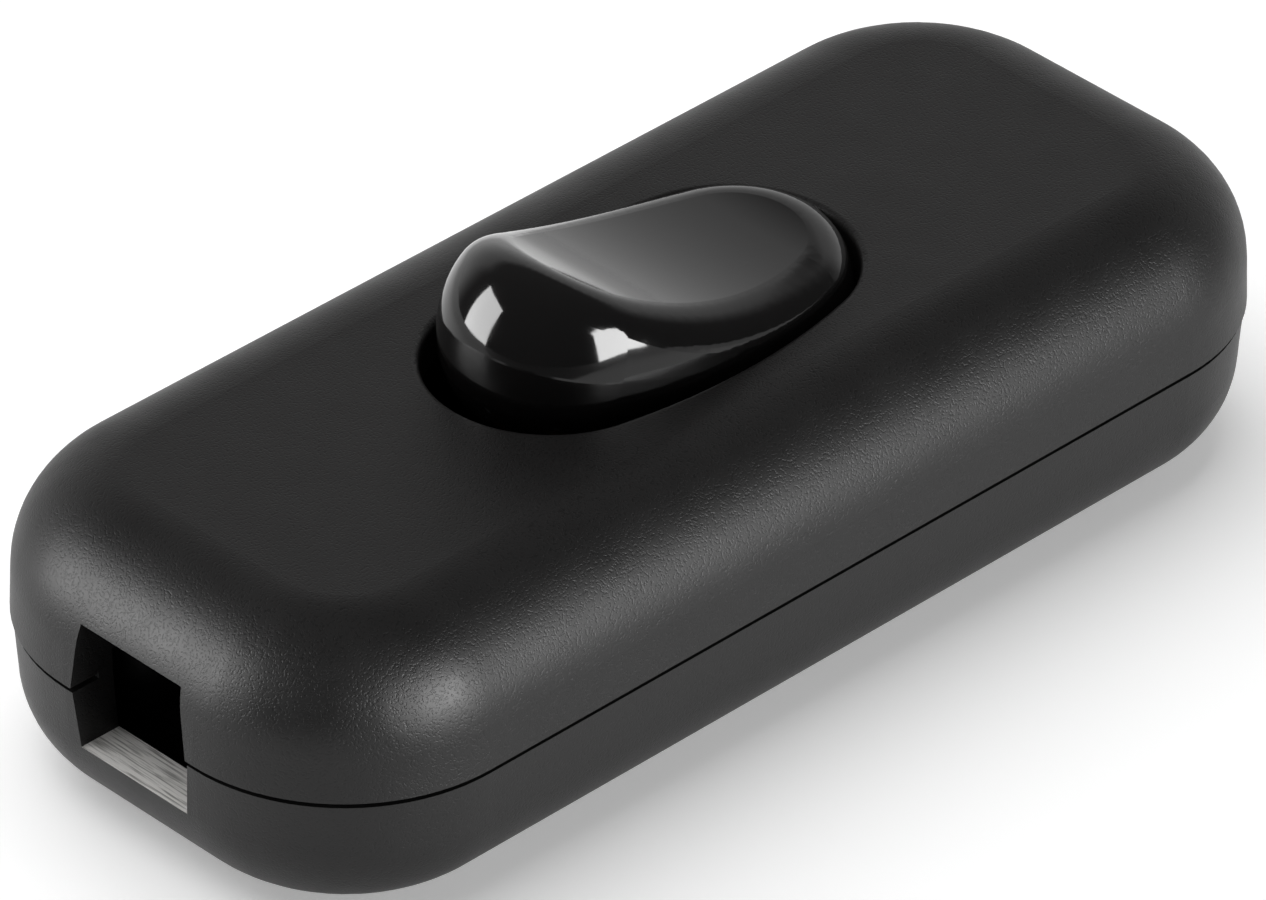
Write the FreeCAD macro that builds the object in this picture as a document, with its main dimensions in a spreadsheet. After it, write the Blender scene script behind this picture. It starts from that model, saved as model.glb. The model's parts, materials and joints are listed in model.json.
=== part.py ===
"""Inline cord switch: a rocker switch that sits in the middle of a flexible cord.

Millimetres and degrees. +X runs along the body to its far end, +Y across it and +Z up, with the origin in the
middle of the underside. The mechanism stands in its off position: the near (-X) end of the rocker is up, its
spring-loaded pin leans to -X, and the see-saw contact under the pin has its -X arm down.
"""
import FreeCAD
import Part
import Sketcher

import os
import re

# Driving dimensions: the word, its value or formula, and what it measures
SIZES = [
    # Body, two moulded shells
    ("body_length", "62", "length over the cover at the seam"),
    ("body_width", "26.5", "width over the cover at the seam"),
    ("body_height", "14.65", "underside to the flat top of the cover"),
    ("plan_radius", "9.1", "corner radius seen from above"),
    ("seam_height", "7.25", "middle of the seam between the shells"),
    ("seam_gap", "0.3", "shadow gap along the seam"),
    ("base_step", "0.12", "the base stands in from the cover by this"),
    ("base_draft", "4.2", "lean of the base's walls"),
    ("cover_draft", "2", "lean of the cover's walls"),
    ("base_edge_radius", "4.7", "rounding round the underside"),
    ("cover_edge_radius", "5.2", "rounding round the top"),
    ("side_wall", "2", "wall of both shells along the sides"),
    ("end_wall", "2.5", "wall of both shells at the ends"),
    ("floor_thickness", "2", "floor of the base"),
    ("roof_thickness", "2", "roof of the cover"),
    ("tongue_height", "1.2", "the base's inner tongue above the seam"),
    ("tongue_thickness", "0.8", "wall of that tongue"),
    ("tongue_clearance", "0.1", "side clearance of the tongue in the cover"),
    # Cord mouths, one in each end, widest at the seam
    ("mouth_width", "7.4", "width at the seam"),
    ("mouth_top_width", "6.4", "width at the top"),
    ("mouth_sill_width", "6.8", "width at the sill"),
    ("mouth_top", "10.95", "height of the top edge"),
    ("mouth_sill", "4.25", "height of the sill"),
    # Oval rocker opening: four arcs, tangent where they meet
    ("opening_half_length", "11.4", "half the opening along X"),
    ("opening_half_width", "6.45", "half the opening along Y"),
    ("opening_end_radius", "5.8", "radius of the end arcs"),
    ("opening_edge_radius", "0.35", "rounding of the opening's rim"),
    ("opening_side_radius", "=(opening_half_length ^ 2 + opening_half_width ^ 2"
     " - 2 * opening_half_length * opening_end_radius) / (2 * (opening_half_width - opening_end_radius))",
     "radius of the side arcs"),
    ("oval_centre", "=opening_half_length - opening_end_radius", "centre of the end arcs"),
    ("oval_across", "=oval_centre / (opening_side_radius - opening_end_radius)",
     "X of the line through the centres"),
    ("oval_up", "=(opening_side_radius - opening_half_width) / (opening_side_radius - opening_end_radius)",
     "Y of the line through the centres"),
    # Rocker, measured from its pivot axis
    ("pivot_depth", "1.45", "pivot axis below the flat top of the cover"),
    ("pivot_height", "=body_height - pivot_depth", "pivot axis above the underside"),
    ("rocker_tilt", "15", "tilt from level in either position"),
    ("rocker_gap", "0.36", "clearance of the rocker's widest level in the opening"),
    ("rocker_widest", "1.3", "widest level of the bulging walls above the axis"),
    ("rocker_bulge", "5.25", "radius of the bulging walls seen from the side"),
    ("rocker_band", "0.1", "straight band at the widest level"),
    ("rocker_skirt", "2.4", "skirt below the pivot axis"),
    ("skirt_depth", "=rocker_widest + rocker_skirt - rocker_band / 2", "skirt below the straight band"),
    ("skirt_inset", "=rocker_bulge - sqrt(rocker_bulge ^ 2 - skirt_depth ^ 2)",
     "lower edge of the skirt in from the widest level"),
    ("rocker_mid_height", "3.7", "bottom of the scoop"),
    ("rocker_scoop_radius", "24", "radius of the scoop"),
    ("rocker_edge_radius", "1.9", "soft rounding of the rim"),
    ("rocker_wall", "1.5", "roof of the hollow rocker"),
    ("rocker_lip", "0.8", "lower edge of its wall"),
    ("running_clearance", "0.05", "radial clearance of every turning or sliding fit"),
    ("trunnion_radius", "0.9", "trunnions of the rocker"),
    ("trunnion_end_gap", "0.25", "trunnions short of the ribs' outer faces"),
    ("rib_setback", "0.15", "pivot ribs back from the opening"),
    ("rib_thickness", "1.6", "pivot ribs of the cover"),
    ("rib_half_length", "3", "half the length of a pivot rib"),
    ("rib_web", "1.3", "rib left under the trunnion"),
    # Spring pin in the rocker's sleeve, measured from the pivot axis
    ("sleeve_radius", "2.2", "outside of the sleeve"),
    ("sleeve_rise", "1.917", "end of the sleeve above the centre of the pin's nose"),
    ("sleeve_roof", "1.7", "rocker left above the sleeve's bore"),
    ("pin_radius", "1.2", "pin and its round nose"),
    ("pin_shoulder", "3.6", "spring seat on the pin below the pivot"),
    ("spigot_radius", "0.5", "spigot that centres the spring"),
    ("spigot_length", "1", "length of that spigot"),
    ("spring_radius", "0.85", "mean radius of the coil"),
    ("spring_wire_radius", "0.16", "wire of the coil"),
    ("spring_turns", "5", "turns of the coil"),
    ("spring_end_gap", "0.04", "clearance at each end of the coil"),
    # See-saw contact on its knife axis
    ("knife_height", "3.9", "axis of the see-saw above the underside"),
    ("arm_tilt", "8", "tilt of the see-saw in either position"),
    ("arm_rise", "14", "rise of each arm from the middle"),
    ("arm_reach", "6.6", "length of each arm"),
    ("arm_thickness", "0.7", "brass of the see-saw"),
    ("arm_width", "4.8", "width of the see-saw"),
    ("lug_radius", "0.5", "round lugs at the sides"),
    ("nose_gap", "0.18", "clearance under the pin's nose at mid travel"),
    ("pin_reach",
     "=pivot_height - knife_height - (arm_thickness / 2 + pin_radius + nose_gap) / cos(arm_rise * 1 deg)",
     "pivot axis to the centre of the pin's nose"),
    ("sleeve_drop", "=pin_reach - sleeve_rise", "end of the sleeve below the pivot"),
    ("contact_reach", "5.6", "axis of the see-saw to the contacts"),
    ("contact_radius", "1.1", "silver contacts"),
    ("contact_thickness", "0.5", "head of the moving contact"),
    ("contact_shank_radius", "0.6", "rivet shank of the contacts"),
    ("rivet_clearance", "0.02", "radial clearance of rivets and staking pegs"),
    ("contact_gap", "0.1", "clearance left between closed contacts and at the stop"),
    ("arm_low", "=arm_rise - arm_tilt", "slope of the arm that is down"),
    ("arm_high", "=arm_rise + arm_tilt", "slope of the arm that is up"),
    ("contact_depth", "=arm_thickness / 2 + contact_thickness", "middle of the arm to the contact's face"),
    ("fixed_contact_place", "=contact_reach * cos(arm_low * 1 deg) + contact_depth * sin(arm_low * 1 deg)",
     "fixed contact along X"),
    ("fixed_contact_top", "=knife_height + (contact_reach - contact_radius) * sin(arm_low * 1 deg)"
     " - contact_depth * cos(arm_low * 1 deg) - contact_gap", "face of the fixed contact"),
    ("stop_half_length", "0.6", "half the length of the stop under the other arm"),
    ("stop_half_width", "1.6", "half the width of that stop"),
    ("stop_top", "=knife_height + (contact_reach - stop_half_length) * tan(arm_low * 1 deg)"
     " - arm_thickness / 2 / cos(arm_low * 1 deg) - contact_gap", "top of that stop"),
    # Brass strips on the floor
    ("strip_thickness", "0.8", "stamped brass"),
    ("strip_top", "=floor_thickness + strip_thickness", "upper face of the strips"),
    ("terminal_setback", "18.5", "terminal screws in from the ends of the body"),
    ("terminal_inset", "7.45", "terminal screws in from the sides of the body"),
    ("terminal_reach", "=body_length / 2 - terminal_setback", "terminal screws along X"),
    ("terminal_offset", "=body_width / 2 - terminal_inset", "terminal screws along Y"),
    ("terminal_half_length", "2.8", "half a terminal pad along X"),
    ("terminal_half_width", "2.6", "half a terminal pad along Y"),
    ("neck_width", "2.6", "narrow stretch of the strips"),
    ("ear_clearance", "0.25", "see-saw to the ears"),
    ("ear_half_length", "1.4", "half an ear along X"),
    ("ear_height", "0.9", "ear above the knife axis"),
    ("ear_inside", "=arm_width / 2 + ear_clearance", "inner face of the ears"),
    ("ear_outside", "=ear_inside + strip_thickness", "outer face of the ears"),
    ("seat_half_length", "2.2", "strip under the ears, half along X"),
    ("tongue_margin", "0.8", "brass round the fixed contact"),
    ("peg_radius", "0.7", "staking pegs of the base"),
    ("peg_height", "0.4", "pegs above the strips"),
    ("peg_place", "5.6", "pegs along X"),
    # Terminal screws and the plates under them
    ("plate_half", "2.4", "half a wire clamp plate"),
    ("plate_thickness", "0.8", "wire clamp plate"),
    ("plate_radius", "0.6", "its corners"),
    ("screw_clearance", "0.1", "radial clearance of a screw in its hole"),
    ("terminal_shank_radius", "1.5", "terminal screw"),
    ("terminal_head_radius", "2.3", "its head"),
    ("terminal_head_height", "1.6", "its head"),
    ("terminal_screw_below", "0.8", "its end below the strip"),
    ("slot_width", "0.7", "slot of every screw"),
    ("slot_depth", "0.8", "slot of every screw"),
    # Cord clamps
    ("clamp_setback", "6.7", "cord clamps in from the ends of the body"),
    ("clamp_place", "=body_length / 2 - clamp_setback", "cord clamps along X"),
    ("clamp_post_place", "6.2", "clamp posts along Y"),
    ("clamp_post_radius", "2.4", "clamp posts"),
    ("clamp_headroom", "3.45", "top of the clamp posts to the cover's roof"),
    ("clamp_seat", "=body_height - roof_thickness - clamp_headroom", "top of the clamp posts"),
    ("clamp_thickness", "1.8", "clamp bar"),
    ("clamp_half_width", "2.4", "half the bar along X"),
    ("clamp_recess", "1", "recess for each screw head"),
    ("clamp_shank_radius", "1.2", "clamp screw"),
    ("clamp_head_radius", "1.9", "its head"),
    ("clamp_head_height", "1.3", "its head"),
    ("clamp_screw_length", "5.5", "its shank"),
    ("clamp_tooth", "0.5", "gripping ridges of the bar"),
    ("cradle_half_length", "0.7", "half a gripping ridge in the base"),
    ("cradle_spread", "1.5", "those ridges either side of the clamp"),
    # Case screws, driven from below at two opposite corners
    ("case_screw_setback", "11.8", "case screws in from the ends of the body"),
    ("case_screw_inset", "5.85", "case screws in from the sides of the body"),
    ("case_screw_place", "=body_length / 2 - case_screw_setback", "case screws along X"),
    ("case_screw_offset", "=body_width / 2 - case_screw_inset", "case screws along Y"),
    ("case_shank_radius", "1.4", "case screw"),
    ("case_head_radius", "2.5", "its head"),
    ("case_head_height", "1.7", "its head"),
    ("case_recess_depth", "2.4", "recess for the head"),
    ("case_recess_clearance", "0.25", "head in its recess"),
    ("case_boss_wall", "0.7", "boss round the recess"),
    ("case_screw_above", "3.8", "its end above the seam"),
    ("case_pilot_above", "4.2", "depth of the pilot hole above the seam"),
    ("cover_boss_radius", "2.6", "bosses of the cover"),
]

WORDS = {word for word, _, _ in SIZES}
NEAR, FAR = -1, 1
SIDES = (NEAR, FAR)

doc = FreeCAD.newDocument("inline_cord_switch")
dims = doc.addObject("Spreadsheet::Sheet", "dims")
for row, (word, value, meaning) in enumerate(SIZES, start=1):
    dims.set("A%d" % row, word)
    dims.set("B%d" % row, value)
    dims.setAlias("B%d" % row, word)
    dims.set("C%d" % row, meaning)
doc.recompute()


# Expressions and features

def bound(expression):
    """Return an expression with each word of the sheet written as a reference to its cell."""
    def reference(match):
        word = match.group()
        return "dims." + word if word in WORDS else word

    return re.sub(r"[a-z_]+", reference, expression)


def number(expression):
    """Return an expression's present value."""
    return float(dims.evalExpression(bound(expression)))


def new_body(name):
    """Start a body whose label names the piece."""
    body = doc.addObject("PartDesign::Body", name)
    body.Label = name
    return body


def place(body, along="0", across="0", up="0", turn="0"):
    """Place a body and turn it about +Y, each value bound to the sheet."""
    body.Placement = FreeCAD.Placement(FreeCAD.Vector(0, 0, 0), FreeCAD.Rotation(FreeCAD.Vector(0, 1, 0), 1))
    body.setExpression("Placement.Rotation.Angle", bound(turn))
    for axis, expression in (("x", along), ("y", across), ("z", up)):
        body.setExpression("Placement.Base." + axis, bound(expression))


def new_sketch(body, name, plane, height="0"):
    """Attach an empty sketch to one of the body's own planes, raised along the plane's normal."""
    sketch = body.newObject("Sketcher::SketchObject", name)
    origin_plane = [feature for feature in body.Origin.OriginFeatures if feature.Role == plane + "_Plane"][0]
    sketch.AttachmentSupport = [(origin_plane, "")]
    sketch.MapMode = "FlatFace"
    sketch.setExpression("AttachmentOffset.Base.z", bound(height))
    return sketch


def hold(sketch, kind, entities, expression):
    """Add a dimension to a sketch and bind it to the sheet."""
    index = sketch.addConstraint(Sketcher.Constraint(kind, *entities, number(expression)))
    sketch.setExpression("Constraints[%d]" % index, bound(expression))


def arc_through(start, end, radius, left):
    """Return the short arc from start to end, its centre left or right of the way, and its end numbers."""
    chord = end - start
    reach = (max(radius ** 2 - (chord.Length / 2) ** 2, 0.0)) ** 0.5
    normal = FreeCAD.Vector(-chord.y, chord.x, 0).normalize()
    centre = (start + end) * 0.5 + normal * (reach if left else -reach)
    first, last = (start, end) if left else (end, start)
    east = FreeCAD.Vector(1, 0, 0)
    north = FreeCAD.Vector(0, 0, 1)
    angles = [east.getAngle(point - centre) * (1 if point.y >= centre.y else -1) for point in (first, last)]
    curve = Part.ArcOfCircle(Part.Circle(centre, north, radius), angles[0], angles[1])
    return curve, (1, 2) if left else (2, 1)


def add_loop(sketch, corners, arcs=None):
    """Draw a closed outline whose corners, given in turn, are pairs of expressions.

    An edge that starts at corner i and is in arcs is an arc: arcs[i] is its radius,
    and whether its centre lies left of the way round.
    """
    arcs = arcs or {}
    points = [FreeCAD.Vector(number(across), number(up), 0) for across, up in corners]
    edges = []
    for i, start in enumerate(points):
        end = points[(i + 1) % len(points)]
        if i in arcs:
            radius, left = arcs[i]
            curve, ends = arc_through(start, end, number(radius), left)
        else:
            curve, ends = Part.LineSegment(start, end), (1, 2)
        edges.append((sketch.addGeometry(curve, False), ends))
    for i, (edge, ends) in enumerate(edges):
        following, following_ends = edges[(i + 1) % len(edges)]
        sketch.addConstraint(Sketcher.Constraint("Coincident", edge, ends[1], following, following_ends[0]))
        hold(sketch, "DistanceX", (-1, 1, edge, ends[0]), corners[i][0])
        hold(sketch, "DistanceY", (-1, 1, edge, ends[0]), corners[i][1])
        if i in arcs:
            hold(sketch, "Radius", (edge,), arcs[i][0])


def add_circle(sketch, across, up, radius):
    """Draw a circle, its centre and radius bound to the sheet."""
    centre = FreeCAD.Vector(number(across), number(up), 0)
    circle = sketch.addGeometry(Part.Circle(centre, FreeCAD.Vector(0, 0, 1), number(radius)), False)
    hold(sketch, "DistanceX", (-1, 1, circle, 3), across)
    hold(sketch, "DistanceY", (-1, 1, circle, 3), up)
    hold(sketch, "Radius", (circle,), radius)


def add_rectangle(sketch, left, right, low, high):
    """Draw an upright rectangle from four expressions."""
    add_loop(sketch, [(left, low), (right, low), (right, high), (left, high)])


def add_rounded(sketch, half_length, half_width, radius, along="0", across="0"):
    """Draw a rectangle with round corners about a centre."""
    x_edge, x_arc = f"({half_length})", f"({half_length} - ({radius}))"
    y_edge, y_arc = f"({half_width})", f"({half_width} - ({radius}))"
    corners = [(f"{along} + {x_edge}", f"{across} - {y_arc}"), (f"{along} + {x_edge}", f"{across} + {y_arc}"),
               (f"{along} + {x_arc}", f"{across} + {y_edge}"), (f"{along} - {x_arc}", f"{across} + {y_edge}"),
               (f"{along} - {x_edge}", f"{across} + {y_arc}"), (f"{along} - {x_edge}", f"{across} - {y_arc}"),
               (f"{along} - {x_arc}", f"{across} - {y_edge}"), (f"{along} + {x_arc}", f"{across} - {y_edge}")]
    add_loop(sketch, corners, {i: (radius, True) for i in (1, 3, 5, 7)})


def add_oval(sketch, inset):
    """Draw the rocker opening's oval, drawn in by an inset."""
    end_radius, side_radius = f"(opening_end_radius - ({inset}))", f"(opening_side_radius - ({inset}))"
    along, across = f"oval_centre + {end_radius} * oval_across", f"{end_radius} * oval_up"
    corners = [(along, f"-({across})"), (along, across),
               (f"-({along})", across), (f"-({along})", f"-({across})")]
    add_loop(sketch, corners, {0: (end_radius, True), 1: (side_radius, True), 2: (end_radius, True),
                               3: (side_radius, True)})


def extrude(body, kind, name, sketch, length, reverse=False, both=False):
    """Pad or pocket a sketch by a bound length; both spreads it either side of the sketch."""
    feature = body.newObject("PartDesign::" + kind, name)
    feature.Profile = sketch
    feature.Reversed = reverse
    feature.SideType = "Symmetric" if both else "One side"
    feature.setExpression("Length", bound(length))
    sketch.Visibility = False
    return feature


def pad(body, name, sketch, length, **options):
    """Add a prism along the sketch's normal, or against it when reversed."""
    return extrude(body, "Pad", name, sketch, length, **options)


def pocket(body, name, sketch, length, **options):
    """Cut a prism against the sketch's normal, or along it when reversed."""
    return extrude(body, "Pocket", name, sketch, length, **options)


def revolve(body, name, sketch):
    """Turn a half profile about the sketch's upright axis."""
    feature = body.newObject("PartDesign::Revolution", name)
    feature.Profile = sketch
    feature.ReferenceAxis = (sketch, ["V_Axis"])
    feature.Angle = 360
    sketch.Visibility = False
    return feature


def lean_walls(body, name, height, angle):
    """Draft the upright walls of the body so far inwards, away from the flat face at one height."""
    doc.recompute()
    base = body.Tip
    level = number(height)
    walls, neutral = [], []
    for i, face in enumerate(base.Shape.Faces):
        box = face.BoundBox
        if box.ZLength > 0.001:
            walls.append("Face%d" % (i + 1))
        elif abs(box.ZMin - level) < 0.001:
            neutral.append("Face%d" % (i + 1))
    feature = body.newObject("PartDesign::Draft", name)
    feature.Base = (base, walls)
    feature.NeutralPlane = (base, neutral)
    feature.setExpression("Angle", bound(angle))
    doc.recompute()
    if feature.Shape.Volume > base.Shape.Volume:
        feature.Reversed = True
    return feature


def round_edges(body, name, wanted, radius):
    """Fillet the edges of the body so far that a test picks out."""
    doc.recompute()
    base = body.Tip
    picked = ["Edge%d" % (i + 1) for i, edge in enumerate(base.Shape.Edges) if wanted(edge)]
    feature = body.newObject("PartDesign::Fillet", name)
    feature.Base = (base, picked)
    feature.setExpression("Radius", bound(radius))
    return feature


def at_height(expression):
    """Return a test for edges that lie wholly at one height."""
    height = number(expression)
    return lambda edge: abs(edge.BoundBox.ZMin - height) < 0.001 and abs(edge.BoundBox.ZMax - height) < 0.001


def group(name, pieces):
    """Gather identical fasteners as one piece of separate solids."""
    compound = doc.addObject("Part::Compound", name)
    compound.Label = name
    compound.Links = pieces
    return compound


# Places shared by several pieces

TERMINALS = [(along, across) for across in SIDES for along in SIDES]
CASE_SCREWS = [(NEAR, NEAR), (FAR, FAR)]
CLAMP_POSTS = [(along, across) for along in SIDES for across in SIDES]


def times(sign, expression):
    """Return an expression for one side or the other."""
    return f"{sign} * ({expression})"


def cavity_outline(sketch, spread="0"):
    """Draw the inside of the shells seen from above, spread outwards into the walls."""
    add_rounded(sketch, f"body_length / 2 - end_wall + {spread}", f"body_width / 2 - side_wall + {spread}",
                f"plan_radius - side_wall + {spread}")


# Upper cover

def make_upper_cover():
    """Mould the upper shell: rounded top, oval opening, cord notches, pivot ribs and screw bosses."""
    body = new_body("upper_cover")
    rim = "seam_height + seam_gap / 2"
    ceiling = "body_height - roof_thickness"

    outline = new_sketch(body, "cover_outline", "XY", rim)
    add_rounded(outline, "body_length / 2", "body_width / 2", "plan_radius")
    pad(body, "cover_form", outline, f"body_height - ({rim})")
    lean_walls(body, "cover_lean", rim, "cover_draft")
    round_edges(body, "cover_shoulder", at_height("body_height"), "cover_edge_radius")

    inside = new_sketch(body, "cover_inside", "XY", rim)
    cavity_outline(inside)
    pocket(body, "cover_hollow", inside, f"{ceiling} - ({rim})", reverse=True)
    round_edges(body, "cover_inner_shoulder", at_height(ceiling), "cover_edge_radius - side_wall")

    rebate = new_sketch(body, "cover_rebate_outline", "XY", rim)
    cavity_outline(rebate, "tongue_thickness + tongue_clearance")
    pocket(body, "cover_rebate", rebate, "tongue_height - seam_gap / 2", reverse=True)

    opening = new_sketch(body, "opening_outline", "XY", "body_height")
    add_oval(opening, "0")
    pocket(body, "opening", opening, "roof_thickness")
    doc.recompute()
    half_length, half_width = number("opening_half_length"), number("opening_half_width")
    at_top = at_height("body_height")
    round_edges(body, "opening_rim", lambda edge: at_top(edge) and abs(edge.CenterOfMass.x) < half_length
                and abs(edge.CenterOfMass.y) < half_width + 0.001, "opening_edge_radius")

    rib_inside = "opening_half_width + rib_setback"
    rib_outside = f"{rib_inside} + rib_thickness"
    for side in SIDES:
        rib = new_sketch(body, "pivot_rib_outline", "XY", "body_height - roof_thickness / 2")
        faces = [times(side, rib_inside), times(side, rib_outside)]
        low, high = faces if side == FAR else reversed(faces)
        add_rectangle(rib, "-rib_half_length", "rib_half_length", low, high)
        rib_drop = "body_height - roof_thickness / 2 - pivot_height + trunnion_radius + rib_web"
        pad(body, "pivot_rib", rib, rib_drop, reverse=True)
    bore = new_sketch(body, "pivot_bore_outline", "XZ")
    add_circle(bore, "0", "pivot_height", "trunnion_radius + running_clearance")
    pocket(body, "pivot_bore", bore, f"2 * ({rib_outside})", both=True)

    for along, across in CASE_SCREWS:
        x, y = times(along, "case_screw_place"), times(across, "case_screw_offset")
        boss = new_sketch(body, "case_boss_outline", "XY", "seam_height")
        add_circle(boss, x, y, "cover_boss_radius")
        pad(body, "case_boss", boss, "body_height - roof_thickness / 2 - seam_height")
        pilot = new_sketch(body, "case_pilot_outline", "XY", "seam_height")
        add_circle(pilot, x, y, "case_shank_radius + running_clearance")
        pocket(body, "case_pilot", pilot, "case_pilot_above", reverse=True)

    mouth = new_sketch(body, "cover_mouth_outline", "YZ")
    add_loop(mouth, [("-mouth_width / 2", "seam_height"), ("mouth_width / 2", "seam_height"),
                     ("mouth_top_width / 2", "mouth_top"), ("-mouth_top_width / 2", "mouth_top")])
    pocket(body, "cover_mouths", mouth, "body_length + 2", both=True)
    return body


# Lower base

def make_lower_base():
    """Mould the lower shell: rounded underside, tongue, cord notches, posts, pegs, stop and screw bosses."""
    body = new_body("lower_base")
    rim = "seam_height - seam_gap / 2"
    tongue_top = "seam_height + tongue_height"

    outline = new_sketch(body, "base_outline", "XY", rim)
    add_rounded(outline, "body_length / 2 - base_step", "body_width / 2 - base_step",
                "plan_radius - base_step")
    pad(body, "base_form", outline, rim, reverse=True)
    lean_walls(body, "base_lean", rim, "base_draft")
    round_edges(body, "base_edge", at_height("0"), "base_edge_radius")

    tongue = new_sketch(body, "tongue_outline", "XY", rim)
    cavity_outline(tongue, "tongue_thickness")
    pad(body, "tongue", tongue, f"{tongue_top} - ({rim})")

    inside = new_sketch(body, "base_inside", "XY", tongue_top)
    cavity_outline(inside)
    pocket(body, "base_hollow", inside, f"{tongue_top} - floor_thickness")
    round_edges(body, "base_inner_edge", at_height("floor_thickness"), "base_edge_radius - side_wall")

    mouth = new_sketch(body, "base_mouth_outline", "YZ")
    add_loop(mouth, [("-mouth_sill_width / 2", "mouth_sill"), ("mouth_sill_width / 2", "mouth_sill"),
                     ("mouth_width / 2", "seam_height"), ("mouth_width / 2", tongue_top),
                     ("-mouth_width / 2", tongue_top), ("-mouth_width / 2", "seam_height")])
    pocket(body, "base_mouths", mouth, "body_length + 2", both=True)

    for along, across in CLAMP_POSTS:
        x, y = times(along, "clamp_place"), times(across, "clamp_post_place")
        post = new_sketch(body, "clamp_post_outline", "XY", "floor_thickness / 2")
        add_circle(post, x, y, "clamp_post_radius")
        pad(body, "clamp_post", post, "clamp_seat - floor_thickness / 2")
        pilot = new_sketch(body, "clamp_pilot_outline", "XY", "clamp_seat")
        add_circle(pilot, x, y, "clamp_shank_radius + running_clearance")
        pocket(body, "clamp_pilot", pilot, "clamp_screw_length")

    for along in SIDES:
        for step in SIDES:
            middle = f"{along} * clamp_place + {step} * cradle_spread"
            ridge = new_sketch(body, "cradle_outline", "XZ")
            add_loop(ridge, [(f"{middle} - cradle_half_length", "floor_thickness / 2"),
                             (f"{middle} + cradle_half_length", "floor_thickness / 2"),
                             (f"{middle} + cradle_half_length / 3", "mouth_sill"),
                             (f"{middle} - cradle_half_length / 3", "mouth_sill")])
            pad(body, "cradle", ridge, "mouth_sill_width", both=True)

    for along, across in CASE_SCREWS:
        x, y = times(along, "case_screw_place"), times(across, "case_screw_offset")
        boss = new_sketch(body, "case_post_outline", "XY", "floor_thickness / 2")
        add_circle(boss, x, y, "case_head_radius + case_recess_clearance + case_boss_wall")
        pad(body, "case_post", boss, "seam_height - floor_thickness / 2")
        recess = new_sketch(body, "case_recess_outline", "XY")
        add_circle(recess, x, y, "case_head_radius + case_recess_clearance")
        pocket(body, "case_recess", recess, "case_recess_depth", reverse=True)
        hole = new_sketch(body, "case_hole_outline", "XY", "seam_height")
        add_circle(hole, x, y, "case_shank_radius + screw_clearance")
        pocket(body, "case_hole", hole, "seam_height")

    stop = new_sketch(body, "stop_outline", "XY", "floor_thickness / 2")
    add_rectangle(stop, "-contact_reach - stop_half_length", "-contact_reach + stop_half_length",
                  "-stop_half_width", "stop_half_width")
    pad(body, "stop", stop, "stop_top - floor_thickness / 2")

    for along, across in TERMINALS:
        relief = new_sketch(body, "screw_relief_outline", "XY", "floor_thickness")
        add_circle(relief, times(along, "terminal_reach"), times(across, "terminal_offset"),
                   "terminal_shank_radius + screw_clearance")
        pocket(body, "screw_relief", relief, "terminal_screw_below + screw_clearance")
        peg = new_sketch(body, "peg_outline", "XY", "floor_thickness / 2")
        add_circle(peg, times(along, "peg_place"), times(across, PEG_LINE[across]), "peg_radius")
        pad(body, "peg", peg, "strip_top + peg_height - floor_thickness / 2")
    return body


# Rocker and its spring pin

def make_rocker():
    """Mould the rocker about its pivot axis: bulging oval, scooped top, hollow, sleeve and trunnions."""
    body = new_body("rocker")
    place(body, up="pivot_height", turn="rocker_tilt")
    half_form = "rocker_bulge + rocker_band / 2"
    foot, top = f"rocker_widest - ({half_form})", f"rocker_widest + {half_form}"

    outline = new_sketch(body, "rocker_outline", "XY", foot)
    add_oval(outline, "rocker_gap")
    pad(body, "rocker_form", outline, f"2 * ({half_form})")
    round_edges(body, "upper_bulge", at_height(top), "rocker_bulge")
    round_edges(body, "lower_bulge", at_height(foot), "rocker_bulge")
    skirt = new_sketch(body, "skirt_outline", "XY", "-rocker_skirt")
    add_oval(skirt, "0")
    pocket(body, "skirt_cut", skirt, "2 * rocker_bulge")

    reach = "opening_half_length"
    height = f"rocker_mid_height + rocker_scoop_radius - sqrt(rocker_scoop_radius ^ 2 - {reach} ^ 2)"
    scoop = new_sketch(body, "scoop_outline", "XZ")
    add_loop(scoop, [(f"-{reach}", height), (reach, height),
                     (reach, f"{top} + 1"), (f"-{reach}", f"{top} + 1")],
             {0: ("rocker_scoop_radius", True)})
    pocket(body, "scoop", scoop, "4 * opening_half_width", both=True)
    doc.recompute()
    round_edges(body, "rocker_edge", rim_test(body.Tip.Shape), "rocker_edge_radius")

    hollow = new_sketch(body, "hollow_outline", "XY", "-rocker_skirt")
    add_oval(hollow, "rocker_gap + skirt_inset + rocker_lip")
    pocket(body, "hollow", hollow, "rocker_skirt + rocker_mid_height - rocker_wall", reverse=True)

    sleeve = new_sketch(body, "sleeve_outline", "XY", "-sleeve_drop")
    add_circle(sleeve, "0", "0", "sleeve_radius")
    pad(body, "sleeve", sleeve, "sleeve_drop + rocker_mid_height - rocker_wall / 2")
    bore = new_sketch(body, "sleeve_bore_outline", "XY", "-sleeve_drop")
    add_circle(bore, "0", "0", "pin_radius + running_clearance")
    pocket(body, "sleeve_bore", bore, "sleeve_drop + rocker_mid_height - sleeve_roof", reverse=True)

    root = "opening_half_width - rocker_gap - rocker_wall / 2"
    end = "opening_half_width + rib_setback + rib_thickness - trunnion_end_gap"
    for side in SIDES:
        trunnion = new_sketch(body, "trunnion_outline", "XZ", times(side, root))
        add_circle(trunnion, "0", "0", "trunnion_radius")
        pad(body, "trunnion", trunnion, f"{end} - ({root})", reverse=side == NEAR)
    return body


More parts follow.
